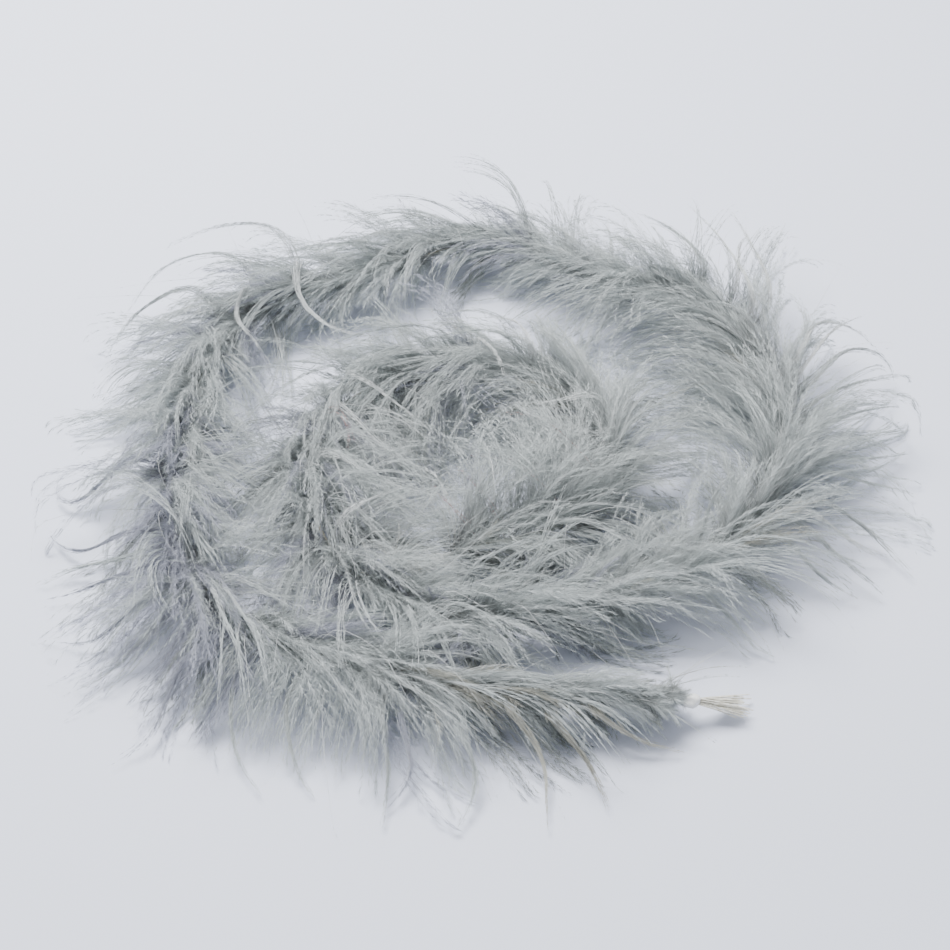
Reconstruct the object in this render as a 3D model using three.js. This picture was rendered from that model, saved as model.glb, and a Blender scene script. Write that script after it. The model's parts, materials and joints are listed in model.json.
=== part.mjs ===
// Ostrich feather boa, laid on a table in a loose flat spiral of about two turns.
//
// A limp two-ply cord runs through the whole length. Plumes are bound to it one after the other: each is a
// pared quill lying on the cord, a thread lashing that ties the quill's butt down, and the downy barbs that
// stand out from the quill. Every plume's tip points to the outer end of the cord. Both ends of the cord are
// sealed with a bead of glue, from which cut strands stick out.
//
// The barbs are soft, so each plume's barbs are one plain tent-shaped solid with a flat base and a passage for
// the cord. The boa bends between plumes: the five bends that a hand makes when it picks an end up, or when it
// uncurls the outer turn, are hinges, and each moving length is a nested group placed at its hinge.
//
// Frame: millimetres, +Z up, table top at z = 0, origin under the middle of the boa.

import * as THREE from 'three';
import { mergeVertices } from 'three/addons/utils/BufferGeometryUtils.js';

// ---------------------------------------------------------------- driving dimensions

// Centre of the cord, from the outer end inwards: x, y, height above the table.
const ROUTE_POINTS = [
  [151, -198, 9], [128, -200, 13], [96, -203, 17], [62, -204, 20], [28, -203, 20], [-8, -199, 20],
  [-44, -190, 20], [-80, -179, 20], [-114, -165, 20], [-145, -145, 20], [-170, -116, 20], [-187, -80, 20],
  [-194, -38, 20], [-193, 8, 20], [-188, 53, 20], [-177, 97, 20], [-153, 131, 20], [-118, 151, 20],
  [-80, 168, 20], [-45, 189, 20], [-8, 203, 20], [27, 196, 20], [60, 174, 20], [97, 155, 20],
  [135, 141, 20], [166, 114, 20], [186, 72, 20], [194, 24, 20], [186, -27, 20], [164, -70, 20],
  [131, -101, 20], [94, -122, 20], [55, -136, 20], [14, -143, 20], [-27, -141, 20], [-62, -126, 20],
  [-90, -95, 20], [-107, -53, 20], [-110, -9, 20], [-96, 31, 20], [-68, 56, 20], [-30, 67, 20],
  [10, 69, 20], [46, 57, 20], [71, 29, 20], [80, -9, 20], [71, -45, 20], [46, -70, 20],
  [14, -83, 20], [-20, -91, 17], [-52, -102, 11],
];

const CORD_DIAMETER = 3;
const CORD_SIDES = 8;

const PLUME_COUNT = 14;
const PLUME_STEPS = 6;            // straight lengths that one plume's curve is made of
const OUTER_STRAND_LENGTH = 32;   // cut strands beyond the cord, outer end
const INNER_STRAND_LENGTH = 18;   // cut strands beyond the cord, inner end
const BARE_CORD_LENGTH = 15;      // cord showing between its cut end and the first barbs, at each end

const QUILL_WIDTH = 2.2;
const QUILL_THICKNESS = 1.2;
const QUILL_TIP_SHARE = 0.5;      // width at the tip against the width at the butt
const QUILL_END_GAP = 4;          // from the plume's end to the quill's end

const LASHING_LENGTH = 7;
const LASHING_WALL = 0.8;
const LASHING_INSET = 11;         // from the plume's butt end to the middle of its lashing

const BEAD_LENGTH = 10;
const BEAD_RADIUS = 4.4;
const OUTER_STRAND_COUNT = 4;
const INNER_STRAND_COUNT = 3;
const STRAND_RADIUS = 0.5;
const STRAND_SPREAD = 9;          // how far the strand tips fan out sideways
const STRAND_TIP_HEIGHT = 4;      // height of the strand tips above the table

const BARB_HEIGHT = 56;           // crest of the barbs above the table
const BARB_EDGE_HEIGHT = 4;       // thickness of the barbs at their outer edge
const OUTER_REACH = 62;           // from the cord to the edge of the barbs, on the free outer side
const INNER_REACH = 42;           // the same on the side of the hollow in the middle
const END_BARB_HEIGHT = 34;       // crest and reach of the barbs at the two ends of the boa
const END_REACH = 14;
const END_TAPER_LENGTH = 78;      // length over which the barbs grow to their full size

const FIT_GAP = 0.3;              // between pieces that touch
const BORE_GAP = 0.4;             // between the lashings and the barbs around them
const PLUME_GAP = 0.6;            // between one plume's barbs and the next
const TURN_GAP = 8;               // between the barbs of neighbouring turns

const SWING_LIMIT = 30;           // degrees, uncurling bends
const LIFT_LIMIT = 60;            // degrees, bends that lift an end
const HINGE_SPARE_ANGLE = 10;     // degrees by which the barbs beside a hinge clear its limit

// The hinges, as the number of the plume boundary, counted from the outer end.
const OUTER_LIFT = 1;
const SWINGS = [2, 3, 4];
const INNER_LIFT = 13;

const OVAL_SIDES = 12;
const SAME_TURN_LENGTH = 150;     // nearer than this along the cord, two points are on the same turn

const COLOURS = {
  barbs: { color: 0x9ea3a5, roughness: 0.9 },
  quill: { color: 0xcfc8ae, roughness: 0.5 },
  cord: { color: 0xd9d5c9, roughness: 0.85 },
  thread: { color: 0xdcdbd4, roughness: 0.7 },
  glue: { color: 0xefeeea, roughness: 0.3 },
};

// ---------------------------------------------------------------- the cord's route

const route = new THREE.CatmullRomCurve3(ROUTE_POINTS.map((p) => new THREE.Vector3(...p)), false, 'centripetal');
route.arcLengthDivisions = 2000;
const ROUTE_LENGTH = route.getLength();

const CORD_START = OUTER_STRAND_LENGTH;
const CORD_END = ROUTE_LENGTH - INNER_STRAND_LENGTH;
const BARBS_START = CORD_START + BARE_CORD_LENGTH;
const BARBS_END = CORD_END - BARE_CORD_LENGTH;
const PLUME_PITCH = (BARBS_END - BARBS_START) / PLUME_COUNT;

const boundary = (number) => BARBS_START + number * PLUME_PITCH;

// Every piece on the cord follows the same straight lengths between these stations, so nested pieces keep
// their clearances round every bend.
const stations = [0, CORD_START];
for (let step = 0; step <= PLUME_COUNT * PLUME_STEPS; step += 1) {
  stations.push(BARBS_START + (step * PLUME_PITCH) / PLUME_STEPS);
}
stations.push(CORD_END, ROUTE_LENGTH);

const frames = stations.map((distance) => {
  const share = distance / ROUTE_LENGTH;
  const tangent = route.getTangentAt(share);
  return {
    point: route.getPointAt(share),
    left: new THREE.Vector3(-tangent.y, tangent.x, 0).normalize(),
  };
});

// The point at a distance along the cord, moved left of it and up from its centre.
function place(distance, left, up) {
  let index = stations.findIndex((station) => station > distance) - 1;
  if (index < 0) index = stations.length - 2;
  const share = (distance - stations[index]) / (stations[index + 1] - stations[index]);
  const ends = [frames[index], frames[index + 1]].map((frame) => (
    frame.point.clone().addScaledVector(frame.left, left)
  ));
  const point = ends[0].lerp(ends[1], share);
  point.z += up;
  return point;
}

function stationsBetween(start, end) {
  const clear = 0.01;
  return [start, ...stations.filter((s) => s > start + clear && s < end - clear), end];
}

// ---------------------------------------------------------------- shapes and solids

function ovalPoints(halfWidth, halfHeight, centreHeight) {
  const circumscribed = 1 / Math.cos(Math.PI / OVAL_SIDES);
  return Array.from({ length: OVAL_SIDES }, (_, side) => {
    const angle = ((side + 0.5) * 2 * Math.PI) / OVAL_SIDES;
    return new THREE.Vector2(
      halfWidth * circumscribed * Math.cos(angle),
      centreHeight + halfHeight * circumscribed * Math.sin(angle),
    );
  });
}

function ring(outer, inner) {
  const shape = new THREE.Shape(outer);
  shape.holes.push(new THREE.Path(inner));
  return shape;
}

// Extrudes a section and lays it along the cord. The move takes each of its points to a distance along the
// cord, a distance to the left of it and a height.
function layAlongCord(shape, stops, move) {
  const steps = stops.length - 1;
  const straight = new THREE.ExtrudeGeometry(shape, { depth: steps, steps, bevelEnabled: false });
  straight.deleteAttribute('normal');
  straight.deleteAttribute('uv');
  const solid = mergeVertices(straight);
  const position = solid.getAttribute('position');
  for (let i = 0; i < position.count; i += 1) {
    const stop = Math.round(position.getZ(i));
    const point = move(position.getX(i), position.getY(i), stops[stop], stop);
    position.setXYZ(i, point.x, point.y, point.z);
  }
  return solid;
}

function piece(name, geometry, look, anchor) {
  const material = new THREE.MeshStandardMaterial({ ...COLOURS[look], metalness: 0 });
  geometry.translate(-anchor.x, -anchor.y, -anchor.z);
  const mesh = new THREE.Mesh(geometry, material);
  mesh.name = name;
  mesh.position.copy(anchor);
  return mesh;
}

const numbered = (word, index) => `${word}_${String(index + 1).padStart(2, '0')}`;

// ---------------------------------------------------------------- sections, each fitted round the last

const CORD_RADIUS = CORD_DIAMETER / 2;
const QUILL_BASE = CORD_RADIUS + FIT_GAP;
const STACK_TOP = QUILL_BASE + QUILL_THICKNESS;
const STACK_MIDDLE = (STACK_TOP - CORD_RADIUS) / 2;
const LASHING_HALF_WIDTH = Math.max(CORD_RADIUS, QUILL_WIDTH / 2) + FIT_GAP;
const LASHING_HALF_HEIGHT = (STACK_TOP + CORD_RADIUS) / 2 + FIT_GAP;

const cordSection = new THREE.Shape(Array.from({ length: CORD_SIDES }, (_, side) => {
  const angle = ((side + 0.5) * 2 * Math.PI) / CORD_SIDES;
  return new THREE.Vector2(CORD_RADIUS * Math.cos(angle), CORD_RADIUS * Math.sin(angle));
}));

const QUILL_SIDES = 5;
const quillSection = new THREE.Shape(Array.from({ length: QUILL_SIDES }, (_, corner) => {
  const angle = (corner * Math.PI) / (QUILL_SIDES - 1);
  return new THREE.Vector2((QUILL_WIDTH / 2) * Math.cos(angle), QUILL_THICKNESS * Math.sin(angle));
}));

const lashingSection = ring(
  ovalPoints(LASHING_HALF_WIDTH + LASHING_WALL, LASHING_HALF_HEIGHT + LASHING_WALL, STACK_MIDDLE),
  ovalPoints(LASHING_HALF_WIDTH, LASHING_HALF_HEIGHT, STACK_MIDDLE),
);

const BORE_HALF_WIDTH = LASHING_HALF_WIDTH + LASHING_WALL + BORE_GAP;
const BORE_HALF_HEIGHT = LASHING_HALF_HEIGHT + LASHING_WALL + BORE_GAP;

// One side of the tent, from its foot to its crest, as shares of its reach and of its height.
const TENT_SIDE = [[1, 0], [1, BARB_EDGE_HEIGHT / BARB_HEIGHT], [0.32, 0.33], [0.08, 0.85]];
const DRAWN_REACH = (OUTER_REACH + INNER_REACH) / 2;
const CORD_HEIGHT = Math.max(...ROUTE_POINTS.map((point) => point[2]));

function tentSection() {
  const corner = (side) => ([across, up]) => (
    new THREE.Vector2(side * across * DRAWN_REACH, up * BARB_HEIGHT)
  );
  const outline = [
    ...TENT_SIDE.map(corner(1)),
    new THREE.Vector2(0, BARB_HEIGHT),
    ...[...TENT_SIDE].reverse().map(corner(-1)),
  ];
  const bore = ovalPoints(BORE_HALF_WIDTH, BORE_HALF_HEIGHT, CORD_HEIGHT + STACK_MIDDLE);
  return { shape: ring(outline, bore), bore };
}

// ---------------------------------------------------------------- room for the barbs

// Half the way from a station to the nearest turn on that side, less half the gap between turns.
function roomBeside(index, side) {
  const { point, left } = frames[index];
  const ways = frames.map((other, otherIndex) => {
    if (Math.abs(stations[otherIndex] - stations[index]) < SAME_TURN_LENGTH) return Infinity;
    const away = other.point.clone().sub(point).setZ(0);
    const sideways = away.dot(left) * side;
    return sideways > 0.5 * away.length() ? away.length() : Infinity;
  });
  return (Math.min(...ways) - TURN_GAP) / 2;
}

// How much of their full size the barbs have: none at the ends of the boa, all beyond the taper.
function fullness(distance) {
  const fromEnd = Math.min(distance - BARBS_START, BARBS_END - distance);
  return THREE.MathUtils.smoothstep(fromEnd, 0, END_TAPER_LENGTH);
}

// The least room at a station and its two neighbours counts, so no straight edge cuts across a gap.
function reachAt(index, side) {
  const near = [index - 1, index, index + 1];
  const room = Math.min(...near.map((i) => roomBeside(i, side)));
  const full = THREE.MathUtils.lerp(END_REACH, side > 0 ? OUTER_REACH : INNER_REACH, fullness(stations[index]));
  return Math.min(full, room);
}

const barbHeightAt = (distance) => THREE.MathUtils.lerp(END_BARB_HEIGHT, BARB_HEIGHT, fullness(distance));

// ---------------------------------------------------------------- hinges

const limitAt = (number) => {
  if (number === OUTER_LIFT || number === INNER_LIFT) return LIFT_LIMIT;
  return SWINGS.includes(number) ? SWING_LIMIT : 0;
};

// How far from the hinge a face has to start, at a distance from the hinge's axis on the side that closes, to
// be clear of the face that it turns towards.
const leanFor = (angle, fromAxis) => (
  Math.max(0, fromAxis) * Math.tan(THREE.MathUtils.degToRad(angle / 2))
);

function leanAt(number, left, height) {
  const limit = limitAt(number);
  if (limit === 0) return 0;
  const closing = SWINGS.includes(number) ? left : height - place(boundary(number), 0, 0).z;
  return leanFor(limit + HINGE_SPARE_ANGLE, closing);
}

// ---------------------------------------------------------------- pieces

function barbs(index) {
  const { shape, bore } = tentSection();
  const start = boundary(index);
  const end = boundary(index + 1);
  const stops = stationsBetween(start + PLUME_GAP / 2, end - PLUME_GAP / 2);
  const firstStation = stations.findIndex((station) => Math.abs(station - start) < PLUME_GAP);
  const inBore = (x, y) => bore.some((point) => Math.hypot(point.x - x, point.y - y) < 0.01);

  return layAlongCord(shape, stops, (x, y, distance, stop) => {
    let left = x;
    let height = place(distance, 0, 0).z + y - CORD_HEIGHT;
    if (!inBore(x, y)) {
      left = (x / DRAWN_REACH) * reachAt(firstStation + stop, Math.sign(x));
      height = (y / BARB_HEIGHT) * barbHeightAt(distance);
    }
    let leaned = distance;
    if (stop === 0) leaned += leanAt(index, left, height);
    if (stop === stops.length - 1) leaned -= leanAt(index + 1, left, height);
    const point = place(leaned, left, 0);
    point.z = height;
    return point;
  });
}

function quill(index) {
  const start = boundary(index) + QUILL_END_GAP;
  const end = boundary(index + 1) - QUILL_END_GAP;
  return layAlongCord(quillSection, stationsBetween(start, end), (x, y, distance) => {
    const share = (distance - start) / (end - start);
    const size = THREE.MathUtils.lerp(QUILL_TIP_SHARE, 1, share);
    return place(distance, x * size, QUILL_BASE + y * size);
  });
}

function lashing(index) {
  const middle = boundary(index + 1) - LASHING_INSET;
  const stops = stationsBetween(middle - LASHING_LENGTH / 2, middle + LASHING_LENGTH / 2);
  return layAlongCord(lashingSection, stops, (x, y, distance) => place(distance, x, y));
}

function cord(from, to) {
  const stops = stationsBetween(from, to);
  return layAlongCord(cordSection, stops, (x, y, distance) => place(distance, x, y));
}

// A bead of glue round the cord, between the cut end and the first barbs.
function bead(towards) {
  const inner = CORD_RADIUS + FIT_GAP;
  const profile = [
    [inner, -0.5], [0.62 * BEAD_RADIUS, -0.5], [0.92 * BEAD_RADIUS, -0.3], [BEAD_RADIUS, 0],
    [0.86 * BEAD_RADIUS, 0.3], [0.55 * BEAD_RADIUS, 0.5], [inner, 0.5], [inner, -0.5],
  ];
  const points = profile.map(([radius, along]) => new THREE.Vector2(radius, along * BEAD_LENGTH));
  const geometry = new THREE.LatheGeometry(points, OVAL_SIDES);
  const turn = new THREE.Quaternion().setFromUnitVectors(new THREE.Vector3(0, 1, 0), towards);
  geometry.applyQuaternion(turn);
  return geometry;
}

// A cut strand that leaves the cord's end and fans out while it drops towards the table.
function strand(count, number, from, towards, length) {
  const left = new THREE.Vector3(-towards.y, towards.x, 0).normalize();
  const angle = ((number + 0.5) * 2 * Math.PI) / count;
  const ringRadius = (STRAND_RADIUS + FIT_GAP / 2) / Math.sin(Math.PI / count);
  const across = Math.cos(angle) * ringRadius;
  const up = Math.sin(angle) * ringRadius;
  const fan = (across / ringRadius) * STRAND_SPREAD;
  const reach = length - FIT_GAP - (1 - Math.sin(angle)) * 3;
  const drop = from.z - STRAND_TIP_HEIGHT;
  const points = [0, 0.33, 0.66, 1].map((share) => (
    from.clone()
      .addScaledVector(towards, FIT_GAP + share * reach)
      .addScaledVector(left, across + fan * share ** 2)
      .setZ(from.z + up - drop * share ** 2)
  ));
  const section = new THREE.Shape(Array.from({ length: 6 }, (_, side) => {
    const turn = (side * Math.PI) / 3;
    return new THREE.Vector2(STRAND_RADIUS * Math.cos(turn), STRAND_RADIUS * Math.sin(turn));
  }));
  return new THREE.ExtrudeGeometry(section, {
    extrudePath: new THREE.CatmullRomCurve3(points), steps: 6, bevelEnabled: false,
  });
}

// ---------------------------------------------------------------- assembly

// Each moving length as a group at its hinge, nested in the length that carries it.
const boa = new THREE.Group();

function movingLength(name, parent, number) {
  const group = new THREE.Group();
  group.name = name;
  const hinge = place(boundary(number), 0, 0);
  group.userData.hinge = hinge;
  group.position.copy(hinge).sub(parent.userData.hinge ?? new THREE.Vector3());
  parent.add(group);
  return group;
}

const outerLinks = [];
[...SWINGS].reverse().forEach((number) => {
  outerLinks.unshift(movingLength(`outer_link_${number - 1}`, outerLinks[0] ?? boa, number));
});
const outerEnd = movingLength('outer_end', outerLinks[0], OUTER_LIFT);
const innerEnd = movingLength('inner_end', boa, INNER_LIFT);

function groupOf(plume) {
  if (plume < OUTER_LIFT) return outerEnd;
  if (plume >= INNER_LIFT) return innerEnd;
  return outerLinks[plume - OUTER_LIFT] ?? boa;
}

function add(group, name, geometry, look, anchor) {
  const origin = group.userData.hinge ?? new THREE.Vector3();
  const mesh = piece(name, geometry, look, anchor);
  mesh.position.sub(origin);
  group.add(mesh);
}

for (let plume = 0; plume < PLUME_COUNT; plume += 1) {
  const group = groupOf(plume);
  const butt = place(boundary(plume + 1), 0, 0);
  add(group, numbered('barbs', plume), barbs(plume), 'barbs', butt);
  add(group, numbered('quill', plume), quill(plume), 'quill', butt);
  add(group, numbered('lashing', plume), lashing(plume), 'thread', butt);
}

// The cord, cut at the hinges with room for its ends to turn.
const cuts = [OUTER_LIFT, ...SWINGS, INNER_LIFT];
const gapAt = (number) => leanFor(limitAt(number), CORD_RADIUS) + FIT_GAP / 2;
for (let part = 0; part <= cuts.length; part += 1) {
  const before = cuts[part - 1];
  const after = cuts[part];
  const from = before === undefined ? CORD_START : boundary(before) + gapAt(before);
  const to = after === undefined ? CORD_END : boundary(after) - gapAt(after);
  const group = groupOf(after === undefined ? PLUME_COUNT - 1 : after - 1);
  add(group, numbered('core_cord', part), cord(from, to), 'cord', place(from, 0, 0));
}

function finishEnd(side, group, cordEnd, tip, barbEdge, count) {
  const from = place(cordEnd, 0, 0);
  const towards = from.clone().sub(place(barbEdge, 0, 0)).normalize();
  const middle = from.clone().addScaledVector(towards, -BEAD_LENGTH / 2 - FIT_GAP);
  add(group, `${side}_glue_bead`, bead(towards).translate(middle.x, middle.y, middle.z), 'glue', middle);
  for (let number = 0; number < count; number += 1) {
    const geometry = strand(count, number, from, towards, Math.abs(tip - cordEnd));
    add(group, numbered(`${side}_strand`, number), geometry, 'quill', from);
  }
}

finishEnd('outer', outerEnd, CORD_START, 0, BARBS_START, OUTER_STRAND_COUNT);
finishEnd('inner', innerEnd, CORD_END, ROUTE_LENGTH, BARBS_END, INNER_STRAND_COUNT);

export default boa;
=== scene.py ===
# %% [markdown]
# # A feather boa, laid in a loose spiral
#
# A boa is a limp cord with plumes tied along it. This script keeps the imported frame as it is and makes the
# looks: the twisted cord, the pared quills, the thread that ties them, the glue that seals the ends, and
# thousands of downy barbs. It loads the frame first, because every place and size is worked out from it.

# %% Load the frame
import json
import math

import bpy
import numpy as np
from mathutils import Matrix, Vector


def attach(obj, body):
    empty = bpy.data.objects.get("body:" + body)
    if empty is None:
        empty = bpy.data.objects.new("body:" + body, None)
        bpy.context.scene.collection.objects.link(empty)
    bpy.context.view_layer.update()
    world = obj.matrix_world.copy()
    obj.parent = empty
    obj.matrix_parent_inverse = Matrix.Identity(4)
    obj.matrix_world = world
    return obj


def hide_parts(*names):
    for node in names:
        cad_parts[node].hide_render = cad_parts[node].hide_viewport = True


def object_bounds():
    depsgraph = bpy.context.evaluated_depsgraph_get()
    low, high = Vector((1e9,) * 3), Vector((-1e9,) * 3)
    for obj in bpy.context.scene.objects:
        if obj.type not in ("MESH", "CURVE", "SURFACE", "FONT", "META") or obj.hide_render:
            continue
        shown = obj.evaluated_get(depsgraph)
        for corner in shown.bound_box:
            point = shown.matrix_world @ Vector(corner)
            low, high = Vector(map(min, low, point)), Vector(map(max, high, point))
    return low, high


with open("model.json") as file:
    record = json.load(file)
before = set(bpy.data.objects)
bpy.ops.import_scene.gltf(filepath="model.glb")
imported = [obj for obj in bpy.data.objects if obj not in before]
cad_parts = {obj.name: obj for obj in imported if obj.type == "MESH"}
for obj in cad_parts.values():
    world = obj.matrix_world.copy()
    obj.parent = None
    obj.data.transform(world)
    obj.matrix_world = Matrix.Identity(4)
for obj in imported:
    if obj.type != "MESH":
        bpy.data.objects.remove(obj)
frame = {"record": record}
cad_box = [list(corner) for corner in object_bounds()]
LOW, HIGH = (np.array(corner) for corner in cad_box)
print("frame box in metres:", cad_box)

# %% [markdown]
# ## The view
#
# The boa is seen from above at 45 degrees with a longish lens, so the spiral keeps its shape and its near
# side looks only a little bigger than its far side.

# %% Camera
VIEW_ELEVATION = math.radians(45)
VIEW_DISTANCE = 1.219
VIEW_ANGLE = math.radians(28)
VIEW_TARGET = (-0.0065, -0.0070, 0.0)

camera = bpy.data.objects.new("camera", bpy.data.cameras.new("camera"))
camera.data.angle = VIEW_ANGLE
camera.location = (
    VIEW_TARGET[0],
    VIEW_TARGET[1] - VIEW_DISTANCE * math.cos(VIEW_ELEVATION),
    VIEW_TARGET[2] + VIEW_DISTANCE * math.sin(VIEW_ELEVATION),
)
camera.rotation_euler = (math.pi / 2 - VIEW_ELEVATION, 0, 0)
bpy.context.scene.collection.objects.link(camera)
bpy.context.scene.camera = camera
print("camera at", [round(x, 3) for x in camera.location])

# %% [markdown]
# ## The cord's route
#
# The cord is the one line that everything else follows. Its points are the frame's own, from the outer end
# to the inner one. A Catmull-Rom curve passes through each of them without corners, and measuring along it
# gives every plume its place.

# %% Route
ROUTE = np.array([
    [151, -198, 9], [128, -200, 13], [96, -203, 17], [62, -204, 20], [28, -203, 20], [-8, -199, 20],
    [-44, -190, 20], [-80, -179, 20], [-114, -165, 20], [-145, -145, 20], [-170, -116, 20],
    [-187, -80, 20], [-194, -38, 20], [-193, 8, 20], [-188, 53, 20], [-177, 97, 20], [-153, 131, 20],
    [-118, 151, 20], [-80, 168, 20], [-45, 189, 20], [-8, 203, 20], [27, 196, 20], [60, 174, 20],
    [97, 155, 20], [135, 141, 20], [166, 114, 20], [186, 72, 20], [194, 24, 20], [186, -27, 20],
    [164, -70, 20], [131, -101, 20], [94, -122, 20], [55, -136, 20], [14, -143, 20], [-27, -141, 20],
    [-62, -126, 20], [-90, -95, 20], [-107, -53, 20], [-110, -9, 20], [-96, 31, 20], [-68, 56, 20],
    [-30, 67, 20], [10, 69, 20], [46, 57, 20], [71, 29, 20], [80, -9, 20], [71, -45, 20],
    [46, -70, 20], [14, -83, 20], [-20, -91, 17], [-52, -102, 11],
]) / 1000

SAMPLES_PER_SPAN = 40


def smooth_route(points):
    """The centripetal Catmull-Rom curve through the points, as many short straight steps."""
    padded = np.vstack([2 * points[0] - points[1], points, 2 * points[-1] - points[-2]])
    share = np.linspace(0, 1, SAMPLES_PER_SPAN, endpoint=False)[:, None]
    spans = []
    for before, start, end, after in zip(padded, padded[1:], padded[2:], padded[3:]):
        gaps = [np.linalg.norm(b - a) ** 0.5 for a, b in ((before, start), (start, end), (end, after))]
        leave = (start - before) / gaps[0] - (end - before) / (gaps[0] + gaps[1]) + (end - start) / gaps[1]
        arrive = (end - start) / gaps[1] - (after - start) / (gaps[1] + gaps[2]) + (after - end) / gaps[2]
        leave, arrive = leave * gaps[1], arrive * gaps[1]
        spans.append(
            start
            + leave * share
            + (3 * (end - start) - 2 * leave - arrive) * share**2
            + (2 * (start - end) + leave + arrive) * share**3
        )
    return np.vstack(spans + [points[-1:]])


route = smooth_route(ROUTE)
route_at = np.concatenate([[0], np.cumsum(np.linalg.norm(np.diff(route, axis=0), axis=1))])
CORD_LENGTH = float(route_at[-1])


def cord_frame(distance):
    """Point, direction and left-hand side of the cord at distances from its outer end, in metres."""
    distance = np.atleast_1d(distance)
    half_step = 0.002

    def at(d):
        return np.stack([np.interp(d, route_at, route[:, axis]) for axis in range(3)], axis=-1)

    along = at(distance + half_step) - at(distance - half_step)
    along /= np.linalg.norm(along, axis=-1, keepdims=True)
    left = np.stack([-along[:, 1], along[:, 0], np.zeros(len(along))], axis=-1)
    left /= np.linalg.norm(left, axis=-1, keepdims=True)
    return at(distance), along, left


print(f"cord length {CORD_LENGTH:.3f} m")

# %% [markdown]
# ## Mesh helpers
#
# Four small helpers do the repetitive work. One clears the selection before each modelling step, because an
# operator acts on everything that is selected. One takes a modelled template's points and triangles as lists,
# one lines up many copies of them, and one turns such lists into a mesh with its own UV map. That is how
# many thousand copies of one modelled barb become one piece.

# %% Helpers
def fresh_selection():
    """Leaves edit mode with nothing selected."""
    if bpy.context.object and bpy.context.object.mode != "OBJECT":
        bpy.ops.object.mode_set(mode="OBJECT")
    bpy.ops.object.select_all(action="DESELECT")


def take_points(obj):
    """A modelled template's points and triangles as arrays. The template is removed."""
    mesh = obj.data
    mesh.calc_loop_triangles()
    points = np.empty(len(mesh.vertices) * 3, np.float64)
    mesh.vertices.foreach_get("co", points)
    triangles = np.empty(len(mesh.loop_triangles) * 3, np.int64)
    mesh.loop_triangles.foreach_get("vertices", triangles)
    bpy.data.objects.remove(obj)
    return points.reshape(-1, 3), triangles.reshape(-1, 3)


def mesh_piece(name, points, triangles, surface, material, smooth=False):
    """A new piece from points, triangles and each point's place on its surface, from 0 to 1 both ways."""
    mesh = bpy.data.meshes.new(name)
    mesh.vertices.add(len(points))
    mesh.vertices.foreach_set("co", np.ascontiguousarray(points, np.float32).ravel())
    mesh.loops.add(triangles.size)
    mesh.loops.foreach_set("vertex_index", np.ascontiguousarray(triangles, np.int32).ravel())
    mesh.polygons.add(len(triangles))
    mesh.polygons.foreach_set("loop_start", np.arange(0, triangles.size, 3, dtype=np.int32))
    mesh.polygons.foreach_set("use_smooth", np.full(len(triangles), smooth))
    if surface is not None:
        layer = mesh.uv_layers.new(name="OFBake")
        layer.data.foreach_set("uv", np.ascontiguousarray(surface[triangles.ravel()], np.float32).ravel())
    mesh.update(calc_edges=True)
    mesh.materials.append(material)
    obj = bpy.data.objects.new(name, mesh)
    bpy.context.scene.collection.objects.link(obj)
    return obj


def join_copies(points, triangles):
    """Copies of one shape, as an array of copies by points, as one list of points and triangles."""
    copies, count = points.shape[:2]
    offsets = (np.arange(copies) * count)[:, None, None]
    return points.reshape(-1, 3), (triangles[None] + offsets).reshape(-1, 3)


print("helpers:", [helper.__name__ for helper in (fresh_selection, take_points, mesh_piece, join_copies)])

# %% [markdown]
# ## Materials
#
# Feather is keratin, the stuff of horn and hair: matt when it is as fine as down, with a soft sheen where
# light grazes it, and thin enough to glow a little when lit from behind. The barbs take their colour from
# their own UV map. One way across the map a barb runs from its root, darkened as painted shade for the
# shade deep among the barbs, to its tip, lightened a little as painted light, and the other way lie the
# shades, so that every barb can have its own. Cord and thread are cotton, the quills are bare horn, and the
# beads are dried craft glue.

# %% Colours and nodes
def linear(hex_colour):
    """An sRGB hex colour such as "9ea3a5" as the linear values that shaders use."""
    srgb = [int(hex_colour[i:i + 2], 16) / 255 for i in (0, 2, 4)]
    return [c / 12.92 if c <= 0.04045 else ((c + 0.055) / 1.055) ** 2.4 for c in srgb] + [1.0]


def add_node(material, kind, settings=(), inputs=()):
    """Adds a shader node, then sets its own settings and its sockets, or links them to other sockets."""
    node = material.node_tree.nodes.new(kind)
    for name, value in dict(settings).items():
        setattr(node, name, value)
    for name, value in dict(inputs).items():
        if isinstance(value, bpy.types.NodeSocket):
            material.node_tree.links.new(value, node.inputs[name])
        else:
            node.inputs[name].default_value = value
    return node


def new_material(name):
    material = bpy.data.materials.new(name)
    material.use_nodes = True
    material.node_tree.nodes.clear()
    return material


def set_ramp(node, stops, interpolation="LINEAR"):
    """Gives a colour ramp its stops, as (place, hex colour) pairs."""
    node.color_ramp.interpolation = interpolation
    elements = node.color_ramp.elements
    while len(elements) < len(stops):
        elements.new(0.5)
    for element, (place, colour) in zip(elements, stops):
        element.position = place
        element.color = linear(colour)


print("colour test, mid grey:", [round(c, 3) for c in linear("808080")])

# %% [markdown]
# The dye has not taken evenly. Most barbs are silver grey, and some of those underneath are slate, a darker
# grey that is painted shade for the shadow on the boa's lower side. Others are violet grey or straw coloured,
# the bare shafts stay pale, and a few stray barbs are pink from another dye bath. Each of these has its own
# band of the map, and a smooth noise across the bands makes each barb a little lighter or darker than its
# neighbours.

# %% Barb material
# The slate band is painted shade for barbs underneath; the other bands are dyes.
BANDS = {"pale": (0.01, 0.10), "silver": (0.12, 0.42), "underside_painted_shade": (0.44, 0.50), "violet": (0.52, 0.72),
         "straw": (0.74, 0.92), "pink": (0.94, 0.99)}
DYE_AND_PAINTED_SHADE_COLOURS = {"pale": "dfe2e2", "silver": "c3c9c9", "underside_painted_shade": "8b908d", "violet": "a8abb7", "straw": "bcbcb3",
        "pink": "d08c88"}
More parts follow.
